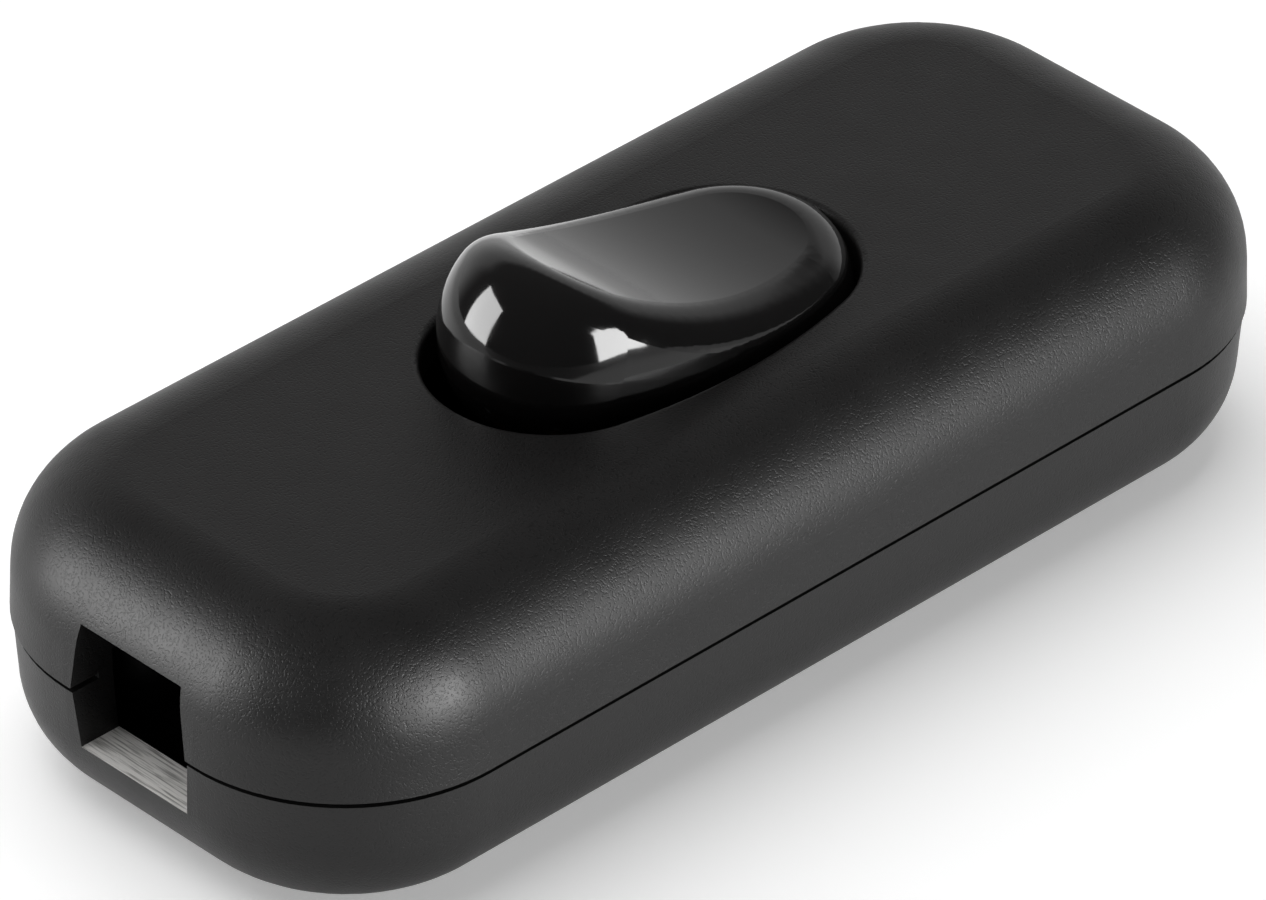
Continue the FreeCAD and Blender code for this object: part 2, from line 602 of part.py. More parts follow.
def rim_test(shape):
    """Return a test for the edges of the scoop, which are the rim of the rocker."""
    radius = number("rocker_scoop_radius")
    scoops = [face for face in shape.Faces if isinstance(face.Surface, Part.Cylinder)
              and abs(face.Surface.Radius - radius) < 1e-6]

    def is_rim(edge):
        return any(edge.isSame(other) for face in scoops for other in face.Edges)
    return is_rim


def make_plunger():
    """Turn the round-nosed pin that slides in the rocker's sleeve."""
    body = new_body("plunger")
    place(body, up="pivot_height", turn="rocker_tilt")
    profile = new_sketch(body, "pin_profile", "XZ")
    add_loop(profile, [("0", "-pin_reach - pin_radius"), ("pin_radius", "-pin_reach"),
                       ("pin_radius", "-pin_shoulder"), ("spigot_radius", "-pin_shoulder"),
                       ("spigot_radius", "-pin_shoulder + spigot_length"),
                       ("0", "-pin_shoulder + spigot_length")],
             {0: ("pin_radius", True)})
    revolve(body, "pin", profile)
    return body


def make_plunger_spring():
    """Coil the spring, six-sided wire, between the pin's shoulder and the end of the sleeve's bore."""
    body = new_body("plunger_spring")
    place(body, up="pivot_height", turn="rocker_tilt")
    start = "-pin_shoulder + spring_wire_radius + spring_end_gap"
    length = "pin_shoulder + rocker_mid_height - sleeve_roof - 2 * (spring_wire_radius + spring_end_gap)"
    wire = new_sketch(body, "wire_section", "XZ")
    corners = [(f"spring_radius + spring_wire_radius * cos({turn} * 1 deg)",
                f"{start} + spring_wire_radius * sin({turn} * 1 deg)") for turn in range(30, 390, 60)]
    add_loop(wire, corners)
    coil = body.newObject("PartDesign::AdditiveHelix", "coil")
    coil.Profile = wire
    coil.ReferenceAxis = (wire, ["V_Axis"])
    coil.Mode = "height-turns-angle"
    coil.setExpression("Height", bound(length))
    coil.setExpression("Turns", bound("spring_turns"))
    wire.Visibility = False
    return body


# See-saw contact

def make_contact_arm():
    """Bend the brass see-saw about its knife axis: a shallow V with round lugs and a rivet hole."""
    body = new_body("contact_arm")
    place(body, up="knife_height", turn="-arm_tilt")
    half = "arm_thickness / 2"
    middle = f"{half} / cos(arm_rise * 1 deg)"
    end_along, end_up = "arm_reach * cos(arm_rise * 1 deg)", "arm_reach * sin(arm_rise * 1 deg)"
    lean, lift = f"{half} * sin(arm_rise * 1 deg)", f"{half} * cos(arm_rise * 1 deg)"
    profile = new_sketch(body, "arm_profile", "XZ")
    add_loop(profile, [("0", f"-({middle})"), (f"{end_along} + {lean}", f"{end_up} - {lift}"),
                       (f"{end_along} - {lean}", f"{end_up} + {lift}"), ("0", middle),
                       (f"-({end_along} - {lean})", f"{end_up} + {lift}"),
                       (f"-({end_along} + {lean})", f"{end_up} - {lift}")])
    pad(body, "arms", profile, "arm_width", both=True)
    root = "arm_width / 2 - lug_radius"
    for side in SIDES:
        lug = new_sketch(body, "lug_outline", "XZ", times(side, root))
        add_circle(lug, "0", "0", "lug_radius")
        pad(body, "lug", lug, f"ear_outside + ear_clearance - ({root})", reverse=side == NEAR)
    hole = new_sketch(body, "rivet_hole_outline", "XY", "0")
    turn = FreeCAD.Rotation(FreeCAD.Vector(0, -1, 0), 1)
    hole.AttachmentOffset = FreeCAD.Placement(FreeCAD.Vector(0, 0, 0), turn)
    hole.setExpression("AttachmentOffset.Rotation.Angle", bound("arm_rise"))
    add_circle(hole, "contact_reach", "0", "contact_shank_radius + rivet_clearance")
    pocket(body, "rivet_hole", hole, "2 * arm_thickness", both=True)
    return body


def make_moving_contact():
    """Turn the silver rivet on the see-saw's +X arm, its face below the arm."""
    body = new_body("moving_contact")
    place(body, along="contact_reach * cos(arm_high * 1 deg)",
          up="knife_height + contact_reach * sin(arm_high * 1 deg)", turn="-arm_high")
    half = "arm_thickness / 2"
    profile = new_sketch(body, "rivet_profile", "XZ")
    tail = f"{half} + contact_thickness / 2"
    add_loop(profile, [("0", "-contact_depth"), ("contact_radius", "-contact_depth"),
                       ("contact_radius", f"-{half}"), ("contact_shank_radius", f"-{half}"),
                       ("contact_shank_radius", half), ("contact_radius * 0.8", half),
                       ("contact_shank_radius", tail), ("0", tail)])
    revolve(body, "rivet", profile)
    return body


def make_fixed_contact():
    """Turn the silver button riveted through the contact terminal."""
    body = new_body("fixed_contact")
    place(body, along="fixed_contact_place")
    profile = new_sketch(body, "button_profile", "XZ")
    add_loop(profile, [("0", "floor_thickness"), ("contact_shank_radius", "floor_thickness"),
                       ("contact_shank_radius", "strip_top"), ("contact_radius", "strip_top"),
                       ("contact_radius", "fixed_contact_top"), ("0", "fixed_contact_top")])
    revolve(body, "button", profile)
    return body


# Brass strips

TERMINAL_INSIDE = "terminal_offset - terminal_half_width"
TERMINAL_OUTSIDE = "terminal_offset + terminal_half_width"
TERMINAL_START = "terminal_reach - terminal_half_length"
TERMINAL_END = "terminal_reach + terminal_half_length"
NECK_OUTSIDE = f"{TERMINAL_INSIDE} + neck_width"
LINK_INSIDE = f"{TERMINAL_OUTSIDE} - neck_width"
# The pegs stand in the middle of the narrow stretches:
# near the middle on the live side, outside on the neutral side
PEG_LINE = {NEAR: f"{TERMINAL_INSIDE} + neck_width / 2", FAR: f"{TERMINAL_OUTSIDE} - neck_width / 2"}


def drill_strip(body, holes):
    """Pierce a strip for its screws and staking pegs."""
    for along, across, radius in holes:
        hole = new_sketch(body, "hole_outline", "XY", "strip_top")
        add_circle(hole, along, across, radius)
        pocket(body, "hole", hole, "strip_thickness")


def screw_and_peg(along, across):
    """Return the two holes of one terminal pad and the narrow stretch beside it."""
    return [(times(along, "terminal_reach"), times(across, "terminal_offset"),
             "terminal_shank_radius + running_clearance"),
            (times(along, "peg_place"), times(across, PEG_LINE[across]), "peg_radius + rivet_clearance")]


def make_pivot_terminal():
    """Stamp the live strip with the two notched ears that carry the see-saw."""
    body = new_body("pivot_terminal")
    outline = new_sketch(body, "pivot_strip_outline", "XY", "floor_thickness")
    add_loop(outline, [(f"-({TERMINAL_END})", f"-({TERMINAL_OUTSIDE})"),
                       (f"-({TERMINAL_START})", f"-({TERMINAL_OUTSIDE})"),
                       (f"-({TERMINAL_START})", f"-({NECK_OUTSIDE})"),
                       ("seat_half_length", f"-({NECK_OUTSIDE})"),
                       ("seat_half_length", "ear_outside"), ("-seat_half_length", "ear_outside"),
                       ("-seat_half_length", f"-({TERMINAL_INSIDE})"),
                       (f"-({TERMINAL_END})", f"-({TERMINAL_INSIDE})")])
    pad(body, "pivot_strip", outline, "strip_thickness")
    notch_radius = "lug_radius + running_clearance"
    ear_top = "knife_height + ear_height"
    for side in SIDES:
        ear = new_sketch(body, "ear_outline", "XZ", times(side, "ear_inside"))
        add_loop(ear, [("-ear_half_length", "floor_thickness"), ("ear_half_length", "floor_thickness"),
                       ("ear_half_length", ear_top), (notch_radius, ear_top), (notch_radius, "knife_height"),
                       ("0", f"knife_height - ({notch_radius})"), (f"-({notch_radius})", "knife_height"),
                       (f"-({notch_radius})", ear_top), ("-ear_half_length", ear_top)],
                 {4: (notch_radius, False), 5: (notch_radius, False)})
        pad(body, "ear", ear, "strip_thickness", reverse=side == NEAR)
    drill_strip(body, screw_and_peg(NEAR, NEAR))
    return body


def make_contact_terminal():
    """Stamp the switched strip, with a tongue under the moving contact."""
    body = new_body("contact_terminal")
    margin = "contact_radius + tongue_margin"
    outline = new_sketch(body, "contact_strip_outline", "XY", "floor_thickness")
    before, after = f"fixed_contact_place - ({margin})", f"fixed_contact_place + {margin}"
    add_loop(outline, [(before, f"-({NECK_OUTSIDE})"), (TERMINAL_START, f"-({NECK_OUTSIDE})"),
                       (TERMINAL_START, f"-({TERMINAL_OUTSIDE})"), (TERMINAL_END, f"-({TERMINAL_OUTSIDE})"),
                       (TERMINAL_END, f"-({TERMINAL_INSIDE})"), (after, f"-({TERMINAL_INSIDE})"),
                       (after, margin), (before, margin)])
    pad(body, "contact_strip", outline, "strip_thickness")
    holes = screw_and_peg(FAR, NEAR)
    drill_strip(body, holes + [("fixed_contact_place", "0", "contact_shank_radius + rivet_clearance")])
    return body


def make_neutral_link():
    """Stamp the strip that joins the two neutral cores."""
    body = new_body("neutral_link")
    outline = new_sketch(body, "link_outline", "XY", "floor_thickness")
    add_loop(outline, [(f"-({TERMINAL_END})", TERMINAL_INSIDE), (f"-({TERMINAL_START})", TERMINAL_INSIDE),
                       (f"-({TERMINAL_START})", LINK_INSIDE), (TERMINAL_START, LINK_INSIDE),
                       (TERMINAL_START, TERMINAL_INSIDE), (TERMINAL_END, TERMINAL_INSIDE),
                       (TERMINAL_END, TERMINAL_OUTSIDE), (f"-({TERMINAL_END})", TERMINAL_OUTSIDE)])
    pad(body, "link", outline, "strip_thickness")
    drill_strip(body, screw_and_peg(NEAR, FAR) + screw_and_peg(FAR, FAR))
    return body


def make_wire_clamp(number_of_plate, along, across):
    """Stamp one square plate that presses a core on its strip."""
    body = new_body("wire_clamp_%d" % number_of_plate)
    place(body, times(along, "terminal_reach"), times(across, "terminal_offset"), "strip_top")
    outline = new_sketch(body, "plate_outline", "XY")
    add_rounded(outline, "plate_half", "plate_half", "plate_radius")
    add_circle(outline, "0", "0", "terminal_shank_radius + screw_clearance")
    pad(body, "plate", outline, "plate_thickness")
    return body


# Screws

def make_screw(name, shank_radius, shank_length, head_radius, head_height, tip):
    """Turn a slotted screw that stands on the underside of its head, its shank pointing down."""
    body = new_body(name)
    crown = f"({head_height}) / 3"
    profile = new_sketch(body, "screw_profile", "XZ")
    add_loop(profile, [("0", f"-({shank_length})"), (f"{shank_radius} - {tip}", f"-({shank_length})"),
                       (shank_radius, f"-({shank_length}) + {tip}"), (shank_radius, "0"), (head_radius, "0"),
                       (head_radius, f"{head_height} - {crown}"), (f"{head_radius} - {crown}", head_height),
                       ("0", head_height)])
    revolve(body, "screw_form", profile)
    slot = new_sketch(body, "slot_outline", "XY", head_height)
    add_rectangle(slot, f"-{head_radius}", head_radius, "-slot_width / 2", "slot_width / 2")
    pocket(body, "slot", slot, "slot_depth")
    return body


def make_terminal_screws():
    """Set one screw at each terminal, its head on the wire clamp plate."""
    screws = []
    for count, (along, across) in enumerate(TERMINALS, start=1):
        screw = make_screw("terminal_screw_%d" % count, "terminal_shank_radius",
                           "plate_thickness + strip_thickness + terminal_screw_below", "terminal_head_radius",
                           "terminal_head_height", "slot_width / 2")
        place(screw, times(along, "terminal_reach"), times(across, "terminal_offset"),
              "strip_top + plate_thickness")
        screws.append(screw)
    return group("terminal_screws", screws)


def make_clamp_screws():
    """Set two screws in each cord clamp, their heads in the bar's recesses."""
    screws = []
    for count, (along, across) in enumerate(CLAMP_POSTS, start=1):
        screw = make_screw("clamp_screw_%d" % count, "clamp_shank_radius",
                           "clamp_screw_length + clamp_thickness - clamp_recess - slot_width",
                           "clamp_head_radius", "clamp_head_height", "slot_width / 2")
        place(screw, times(along, "clamp_place"), times(across, "clamp_post_place"),
              "clamp_seat + clamp_thickness - clamp_recess")
        screws.append(screw)
    return group("clamp_screws", screws)


def make_case_screws():
    """Drive two screws from below, through the base into the cover."""
    screws = []
    for count, (along, across) in enumerate(CASE_SCREWS, start=1):
        screw = make_screw("case_screw_%d" % count, "case_shank_radius",
                           "seam_height + case_screw_above - case_recess_depth", "case_head_radius",
                           "case_head_height", "slot_width")
        place(screw, times(along, "case_screw_place"), times(across, "case_screw_offset"),
              "case_recess_depth", "180")
        screws.append(screw)
    return group("case_screws", screws)


# Cord clamps

def make_cord_clamp(name, along):
    """Mould the bar that presses the cord at one end, with gripping ridges below and screw recesses above."""
    body = new_body(name)
    place(body, times(along, "clamp_place"), "0", "clamp_seat")
    outline = new_sketch(body, "bar_outline", "XY")
    add_rounded(outline, "clamp_half_width", "clamp_post_place + clamp_half_width", "clamp_half_width * 0.9")
    pad(body, "bar", outline, "clamp_thickness")
    for across in SIDES:
        y = times(across, "clamp_post_place")
        hole = new_sketch(body, "bar_hole_outline", "XY", "clamp_thickness")
        add_circle(hole, "0", y, "clamp_shank_radius + screw_clearance")
        pocket(body, "bar_hole", hole, "clamp_thickness")
        recess = new_sketch(body, "bar_recess_outline", "XY", "clamp_thickness")
        add_circle(recess, "0", y, "clamp_head_radius + screw_clearance")
        pocket(body, "bar_recess", recess, "clamp_recess")
    ridge = new_sketch(body, "tooth_outline", "XZ")
    add_loop(ridge, [("0", "-clamp_tooth"), ("clamp_tooth", "clamp_thickness / 2"),
                     ("-clamp_tooth", "clamp_thickness / 2")])
    pad(body, "tooth", ridge, "mouth_sill_width", both=True)
    return body


# Build, check and write

def check(pieces):
    """Stop unless every feature was built and every cut took something away."""
    for item in doc.Objects:
        if "Invalid" in item.State or "Error" in item.State:
            raise RuntimeError("%s failed: %s" % (item.Label, item.State))
        before = getattr(item, "BaseFeature", None)
        if item.isDerivedFrom("PartDesign::Pocket") and item.Shape.Volume >= before.Shape.Volume - 0.0001:
            raise RuntimeError("%s of %s cut nothing" % (item.Label, item.getParentGeoFeatureGroup().Label))
    for piece in pieces:
        if piece.Shape.isNull() or not piece.Shape.isValid():
            raise RuntimeError("%s has no valid shape" % piece.Label)


def main():
    """Build every piece, check it and write its file."""
    pieces = [make_upper_cover(), make_lower_base(), make_rocker(), make_plunger(), make_plunger_spring(),
              make_contact_arm(), make_moving_contact(), make_fixed_contact(), make_pivot_terminal(),
              make_contact_terminal(), make_neutral_link(), make_terminal_screws(),
              make_cord_clamp("cord_clamp_near", NEAR), make_cord_clamp("cord_clamp_far", FAR),
              make_clamp_screws(), make_case_screws()]
    pieces += [make_wire_clamp(count, *spot) for count, spot in enumerate(TERMINALS, start=1)]
    doc.recompute()
    check(pieces)
    os.makedirs("parts", exist_ok=True)
    for piece in pieces:
        piece.Shape.exportStep("parts/%s.step" % piece.Label)


main()
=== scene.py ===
"""Dress the inline cord switch: its finishes, its wound spring, its camera and its light.

Everything is in metres, in the part's own frame: +X runs to the far cord mouth, +Z up through the
rocker, and the origin is the middle of the underside.
"""

import json
import logging
import math
from dataclasses import dataclass
from enum import Enum
from typing import Union

import bpy
import numpy as np
from mathutils import Matrix, Vector


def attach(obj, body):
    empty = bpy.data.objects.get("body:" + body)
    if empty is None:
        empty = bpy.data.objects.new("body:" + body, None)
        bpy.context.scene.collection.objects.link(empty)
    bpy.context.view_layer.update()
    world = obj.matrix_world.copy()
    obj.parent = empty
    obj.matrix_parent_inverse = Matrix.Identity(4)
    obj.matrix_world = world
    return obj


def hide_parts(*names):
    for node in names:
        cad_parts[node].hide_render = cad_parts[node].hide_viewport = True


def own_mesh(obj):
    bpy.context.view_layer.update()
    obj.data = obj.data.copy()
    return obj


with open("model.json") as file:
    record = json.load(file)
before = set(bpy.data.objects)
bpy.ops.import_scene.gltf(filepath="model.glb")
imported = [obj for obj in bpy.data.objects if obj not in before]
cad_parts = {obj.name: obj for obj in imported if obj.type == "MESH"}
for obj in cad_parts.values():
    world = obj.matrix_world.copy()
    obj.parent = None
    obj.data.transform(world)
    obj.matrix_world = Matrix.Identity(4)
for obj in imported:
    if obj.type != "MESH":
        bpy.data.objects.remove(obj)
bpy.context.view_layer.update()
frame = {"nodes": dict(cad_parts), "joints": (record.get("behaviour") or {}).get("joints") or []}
MM = 0.001

logging.basicConfig(level=logging.INFO, format="%(message)s")
log = logging.getLogger("cord_switch")

Colour = tuple[float, float, float, float]
Place = tuple[float, float, float]
Span = tuple[float, float]
Tree = bpy.types.NodeTree
Socket = bpy.types.NodeSocket
Value = Union[float, tuple, Socket]
Looks = dict[str, Socket]

# The span that most values of a noise texture lie in.
NOISE_SPAN: Span = (0.3, 0.7)


class Body(Enum):
    """The rigid body that a new piece rides on."""

    ROCKER = "rocker"


class Slot(Enum):
    """A material slot of the record; no new piece here takes it."""

    STEEL = "steel"


class Sum(Enum):
    """The sums that the shaders do."""

    ABSOLUTE = "ABSOLUTE"
    ADD = "ADD"
    COMPARE = "COMPARE"
    GREATER = "GREATER_THAN"
    LESS = "LESS_THAN"
    MAXIMUM = "MAXIMUM"
    MULTIPLY = "MULTIPLY"


def linear(hex_colour: str) -> Colour:
    """Turn an sRGB hex value into a linear colour.

    Args:
        hex_colour: Six hex digits after a hash sign.

    Returns:
        Linear red, green and blue, and an alpha of 1.
    """
    parts = [int(hex_colour[start:start + 2], 16) / 255 for start in (1, 3, 5)]
    return tuple(p / 12.92 if p <= 0.04045 else ((p + 0.055) / 1.055) ** 2.4 for p in parts) + (1.0,)


def per_metre(size_mm: float) -> float:
    """Turn the size of a pattern into a texture scale.

    Args:
        size_mm: How far across one feature of the pattern is.

    Returns:
        The scale, in features to the metre.
    """
    return 1.0 / (size_mm * MM)


def add(tree: Tree, kind: str, inputs: dict[Union[str, int], Value] | None = None,
        **settings: object) -> bpy.types.Node:
    """Add a node, set its properties, and fill or link its inputs.

    Args:
        tree: The node tree it goes in.
        kind: The node's type name after "ShaderNode".
        inputs: A value or an output socket for each input, by name or number.
        settings: Properties of the node.

    Returns:
        The new node.
    """
    made = tree.nodes.new("ShaderNode" + kind)
    for key, setting in settings.items():
        setattr(made, key, setting)
    for key, value in (inputs or {}).items():
        if isinstance(value, Socket):
            tree.links.new(value, made.inputs[key])
        else:
            made.inputs[key].default_value = value
    return made


def reckon(tree: Tree, kind: Sum, *terms: Value) -> Socket:
    """Do one sum.

    Args:
        tree: The node tree it goes in.
        kind: The sum.
        terms: Its terms, in order.

    Returns:
        The result.
    """
    return add(tree, "Math", dict(enumerate(terms)), operation=kind.value).outputs["Value"]


def ranged(tree: Tree, value: Socket, span: Span, result: Span = (0.0, 1.0),
           smooth: bool = False) -> Socket:
    """Stretch one span of a value over another, and stop at its ends.

    Args:
        tree: The node tree it goes in.
        value: The value.
        span: The value's span.
        result: What the two ends of the span become.
        smooth: Whether it eases in and out.

    Returns:
        The stretched value.
    """
    ends = {"Value": value, 1: span[0], 2: span[1], 3: result[0], 4: result[1]}
    easing = "SMOOTHSTEP" if smooth else "LINEAR"
    return add(tree, "MapRange", ends, interpolation_type=easing).outputs["Result"]


def blend(tree: Tree, share: Socket, first: Value, second: Value) -> Socket:
    """Mix two colours.

    Args:
        tree: The node tree it goes in.
        share: The share of the second colour.
        first: The colour at 0.
        second: The colour at 1.

    Returns:
        The mixed colour.
    """
    return add(tree, "Mix", {"Factor": share, 6: first, 7: second}, data_type="RGBA").outputs[2]


def noise(tree: Tree, place: Socket, size_mm: float, detail: float) -> Socket:
    """Make even noise.

    Args:
        tree: The node tree it goes in.
        place: The place on the object, in metres.
        size_mm: How far across its features are.
        detail: How many finer layers it has.

    Returns:
        The noise.
    """
    inputs = {"Vector": place, "Scale": per_metre(size_mm), "Detail": detail}
    return add(tree, "TexNoise", inputs).outputs["Fac"]


def streaks(tree: Tree, place: Socket, sizes_mm: Place, detail: float) -> Socket:
    """Make noise that is drawn out into streaks.

    Args:
        tree: The node tree it goes in.
        place: The place on the object, in metres.
        sizes_mm: How far across its features are along X, Y and Z.
        detail: How many finer layers it has.

    Returns:
        The noise.
    """
    scale = tuple(per_metre(size) for size in sizes_mm)
    drawn = add(tree, "Mapping", {"Vector": place, "Scale": scale}).outputs["Vector"]
    return add(tree, "TexNoise", {"Vector": drawn, "Scale": 1.0, "Detail": detail}).outputs["Fac"]


def bumped(tree: Tree, height: Socket, depth_mm: float, strength: float = 1.0) -> Socket:
    """Turn a height into a bumped surface.

    Args:
        tree: The node tree it goes in.
        height: The height, from 0 to 1.
        depth_mm: The depth that 1 stands for.
        strength: The share of the bump that is kept.

    Returns:
        The surface's normal.
    """
    inputs = {"Height": height, "Strength": strength, "Distance": depth_mm * MM}
    return add(tree, "Bump", inputs).outputs["Normal"]


@dataclass(frozen=True)
class Finish:
    """One material: a plain shader that a subclass gives its detail.

    Attributes:
        name: What the material is and how its surface was made.
        colour: Its sRGB hex colour.
        roughness: Its mean roughness.
        metallic: 1 for a bare metal.
        ior: Index of refraction.
    """

    name: str
    colour: str
    roughness: float
    metallic: float = 0.0
    ior: float = 1.5

    def material(self) -> bpy.types.Material:
        """Build the material with its shader and detail.

        Returns:
            The new material.
        """
        made = bpy.data.materials.new(self.name)
        made.use_nodes = True
        tree = made.node_tree
        tree.nodes.clear()
        plain = {"Base Color": linear(self.colour), "Roughness": self.roughness, "Metallic": self.metallic,
                 "IOR": self.ior}
        shader = add(tree, "BsdfPrincipled", plain)
        add(tree, "OutputMaterial", {"Surface": shader.outputs["BSDF"]})
        place = add(tree, "TexCoord").outputs["Object"]
        for name, look in self.detail(tree, place).items():
            tree.links.new(look, shader.inputs[name])
        return made

    def detail(self, tree: Tree, place: Socket) -> Looks:
        """Make the colour, roughness and bump; a subclass says what they are.

        Args:
            tree: The material's node tree.
            place: The place on the object, in metres.

        Returns:
            A socket for each of the shader's inputs that changes over the surface.
        """
        return {}


@dataclass(frozen=True)
class SparkErodedAbs(Finish):
    """Black ABS moulded in a spark-eroded tool: matte, with fine pits that sparkle in grazing light.

    Attributes:
        grain_mm: Spacing of the pits. The real ones are finer, about 0.1 mm, and are drawn coarser
            here so that they show.
        grain_depth_mm: Their depth.
        land_span: The grain's values from the floor of a pit to the land between the pits.
        land: Colour of that land, lighter than the pits, which keep the darker colour as painted shade.
        blotch_mm: Size of the blotches in the sheen.
        sheen_change: How far they change the roughness either way.
    """

    grain_mm: float = 0.12
    grain_depth_mm: float = 0.007
    land_span: Span = (0.32, 0.5)
    land: str = "#151414"
    blotch_mm: float = 2.5
    sheen_change: float = 0.03

    def detail(self, tree: Tree, place: Socket) -> Looks:
        """Pit the surface, vary its sheen and lighten the land between the pits, so that the pits carry
        painted shade.

        Args:
            tree: The material's node tree.
            place: The place on the object, in metres.

        Returns:
            The colour, the roughness and the bump.
        """
        grain = noise(tree, place, self.grain_mm, detail=1.0)
        land = ranged(tree, grain, self.land_span, smooth=True)
        blotch = noise(tree, place, self.blotch_mm, detail=3.0)
        sheen = (self.roughness - self.sheen_change, self.roughness + self.sheen_change)
        # Painted shade: the pits keep the darker colour and the land between them is lighter.
        return {"Base Color": blend(tree, land, linear(self.colour), linear(self.land)),
                "Roughness": ranged(tree, blotch, NOISE_SPAN, sheen),
                "Normal": bumped(tree, land, self.grain_depth_mm)}


@dataclass(frozen=True)
class SillHighlightAbs(SparkErodedAbs):
    """The same black ABS, with a painted highlight on the sill of each cord mouth, near-white in streaks
    across the mouth.

    Attributes:
        sill: Colour of the painted highlight on the sill.
        sill_streak: Colour of its darker streaks.
        sill_roughness: Its roughness.
        sill_height_mm: Height of the sill.
        sill_slack_mm: How far from that height it still counts as the sill.
        sill_reach_mm: The sill's inner edge along X.
        sill_half_width_mm: Half the sill's width.
        sill_level: How much of the surface's normal points up, at least.
        streak_mm: Spacing of the streaks.
        streak_run_mm: Length of the streaks.
        streak_span: The streaks' values from dark to light.
    """

    # Near-white: a painted highlight on the sill, standing in for the light it catches.
    sill: str = "#f8f6f3"
    sill_streak: str = "#a9a7a4"
    sill_roughness: float = 0.42
    sill_height_mm: float = 4.25
    sill_slack_mm: float = 0.06
    sill_reach_mm: float = 28.2
    sill_half_width_mm: float = 3.7
    sill_level: float = 0.9
    streak_mm: float = 0.12
    streak_run_mm: float = 2.4
    streak_span: Span = (0.36, 0.52)

    def detail(self, tree: Tree, place: Socket) -> Looks:
        """Pit the surface, then paint the highlight on the sill over it.

        Args:
            tree: The material's node tree.
            place: The place on the object, in metres.

        Returns:
            The colour, the roughness and the bump.
        """
        looks = super().detail(tree, place)
        mask = self.sill_mask(tree, place)
        drawn = streaks(tree, place, (self.streak_mm, self.streak_run_mm, self.streak_mm), detail=3.0)
        highlight_streaks = ranged(tree, drawn, self.streak_span)
        # Painted highlight: the sill is coloured near-white, with darker streaks, in place of light.
        painted_highlight = blend(tree, highlight_streaks, linear(self.sill_streak), linear(self.sill))
        looks["Base Color"] = blend(tree, mask, looks["Base Color"], painted_highlight)
        gloss = add(tree, "Mix", {"Factor": mask, 2: looks["Roughness"], 3: self.sill_roughness})
        looks["Roughness"] = gloss.outputs[0]
        return looks

    def sill_mask(self, tree: Tree, place: Socket) -> Socket:
        """Find the flat floor of each mouth.

        Args:
            tree: The material's node tree.
            place: The place on the object, in metres.

        Returns:
            1 on the sills and 0 elsewhere.
        """
        axes = add(tree, "SeparateXYZ", {"Vector": place}).outputs
        normal = add(tree, "NewGeometry").outputs["True Normal"]
        facing = add(tree, "SeparateXYZ", {"Vector": normal}).outputs["Z"]
        out = reckon(tree, Sum.ABSOLUTE, axes["X"])
        side = reckon(tree, Sum.ABSOLUTE, axes["Y"])
        mask = reckon(tree, Sum.COMPARE, axes["Z"], self.sill_height_mm * MM, self.sill_slack_mm * MM)
        beyond = reckon(tree, Sum.GREATER, out, self.sill_reach_mm * MM)
        within = reckon(tree, Sum.LESS, side, self.sill_half_width_mm * MM)
        upward = reckon(tree, Sum.GREATER, facing, self.sill_level)
        for other in (beyond, within, upward):
            mask = reckon(tree, Sum.MULTIPLY, mask, other)
        return mask


@dataclass(frozen=True)
class PolishedAbs(Finish):
    """Black ABS from a polished tool: mirror-like, with a moulding's faint ripple and a handling haze.

    Attributes:
        ripple_mm: Width of the ripples.
        ripple_depth_mm: Their depth.
        haze_mm: Size of the hazy patches.
        haze_span: The haze's values from clear to hazy.
        haze_change: How much rougher the hazy patches are.
    """

    ripple_mm: float = 3.0
    ripple_depth_mm: float = 0.004
    haze_mm: float = 1.2
    haze_span: Span = (0.35, 0.75)
    haze_change: float = 0.05

    def detail(self, tree: Tree, place: Socket) -> Looks:
        """Ripple the surface and haze its gloss.

        Args:
            tree: The material's node tree.
            place: The place on the object, in metres.

        Returns:
            The roughness and the bump.
        """
        ripple = noise(tree, place, self.ripple_mm, detail=1.0)
        haze = noise(tree, place, self.haze_mm, detail=4.0)
        gloss = (self.roughness, self.roughness + self.haze_change)
        return {"Roughness": ranged(tree, haze, self.haze_span, gloss),
                "Normal": bumped(tree, ripple, self.ripple_depth_mm)}


@dataclass(frozen=True)
class DrawnMetal(Finish):
    """Rolled, drawn or plated metal: fine lines along one way, and a tarnish that comes and goes.

    Attributes:
        tarnish: Colour of the duller patches.
        line_mm: Spacing of the lines.
        run_mm: Length of the lines.
        line_depth_mm: Depth of the lines.
        line_strength: The share of their bump that is kept.
        line_change: How the roughness changes from line to line.
        patch_mm: Size of the duller patches.
        patch_span: The patches' values from bright to dull.
        patch_most: The most tarnish in a patch.
    """

    tarnish: str = "#808080"
    line_mm: float = 0.08
    run_mm: float = 3.0
    line_depth_mm: float = 0.004
    line_strength: float = 0.4
    line_change: Span = (-0.06, 0.1)
    patch_mm: float = 1.5
    patch_span: Span = (0.45, 0.7)
    patch_most: float = 0.6

    def detail(self, tree: Tree, place: Socket) -> Looks:
        """Draw the lines along X, and dull patches of the metal.

        Args:
            tree: The material's node tree.
            place: The place on the object, in metres.

        Returns:
            The colour, the roughness and the bump.
        """
        lines = streaks(tree, place, (self.run_mm, self.line_mm, self.line_mm), detail=2.0)
        patch = noise(tree, place, self.patch_mm, detail=4.0)
        dull = ranged(tree, patch, self.patch_span, (0.0, self.patch_most))
        rough = tuple(self.roughness + change for change in self.line_change)
        return {"Base Color": blend(tree, dull, linear(self.colour), linear(self.tarnish)),
                "Roughness": ranged(tree, lines, NOISE_SPAN, rough),
                "Normal": bumped(tree, lines, self.line_depth_mm, self.line_strength)}


